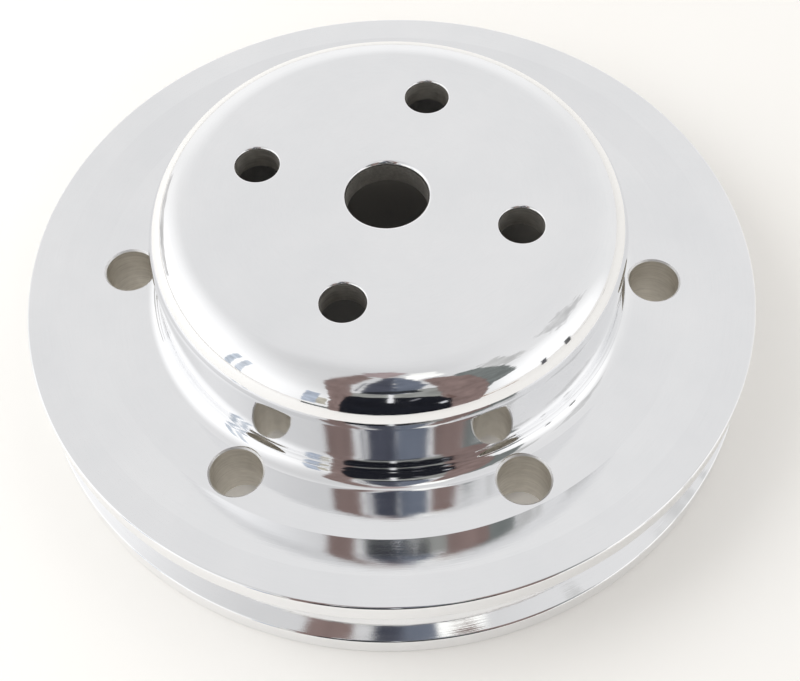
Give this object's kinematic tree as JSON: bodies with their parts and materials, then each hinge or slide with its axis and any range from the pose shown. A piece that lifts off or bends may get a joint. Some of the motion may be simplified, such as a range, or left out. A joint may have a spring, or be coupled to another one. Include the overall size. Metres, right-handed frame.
{
  "type": "v-belt pulley",
  "caption": "Polished aluminium V-belt pulley with a deep hat, a pilot bore, a bolt circle and a ring of web holes, turned from one piece.",
  "frame": {"origin": "centre of the pilot bore on the hub plate's seating face, which is the inner face of the hat", "axes": "+Z along the turning axis, out of the hat's nose and away from the shaft; +X through the centre of one bolt hole"},
  "size_m": [0.1778, 0.1778, 0.0533],
  "materials": {
    "polished_aluminium": "mirror polished on every turned outside face, plain machined in the holes, the belt groove's floor and the back"
  },
  "bodies": {
    "root": {"pulley": "polished_aluminium"}
  },
  "joints": []
}
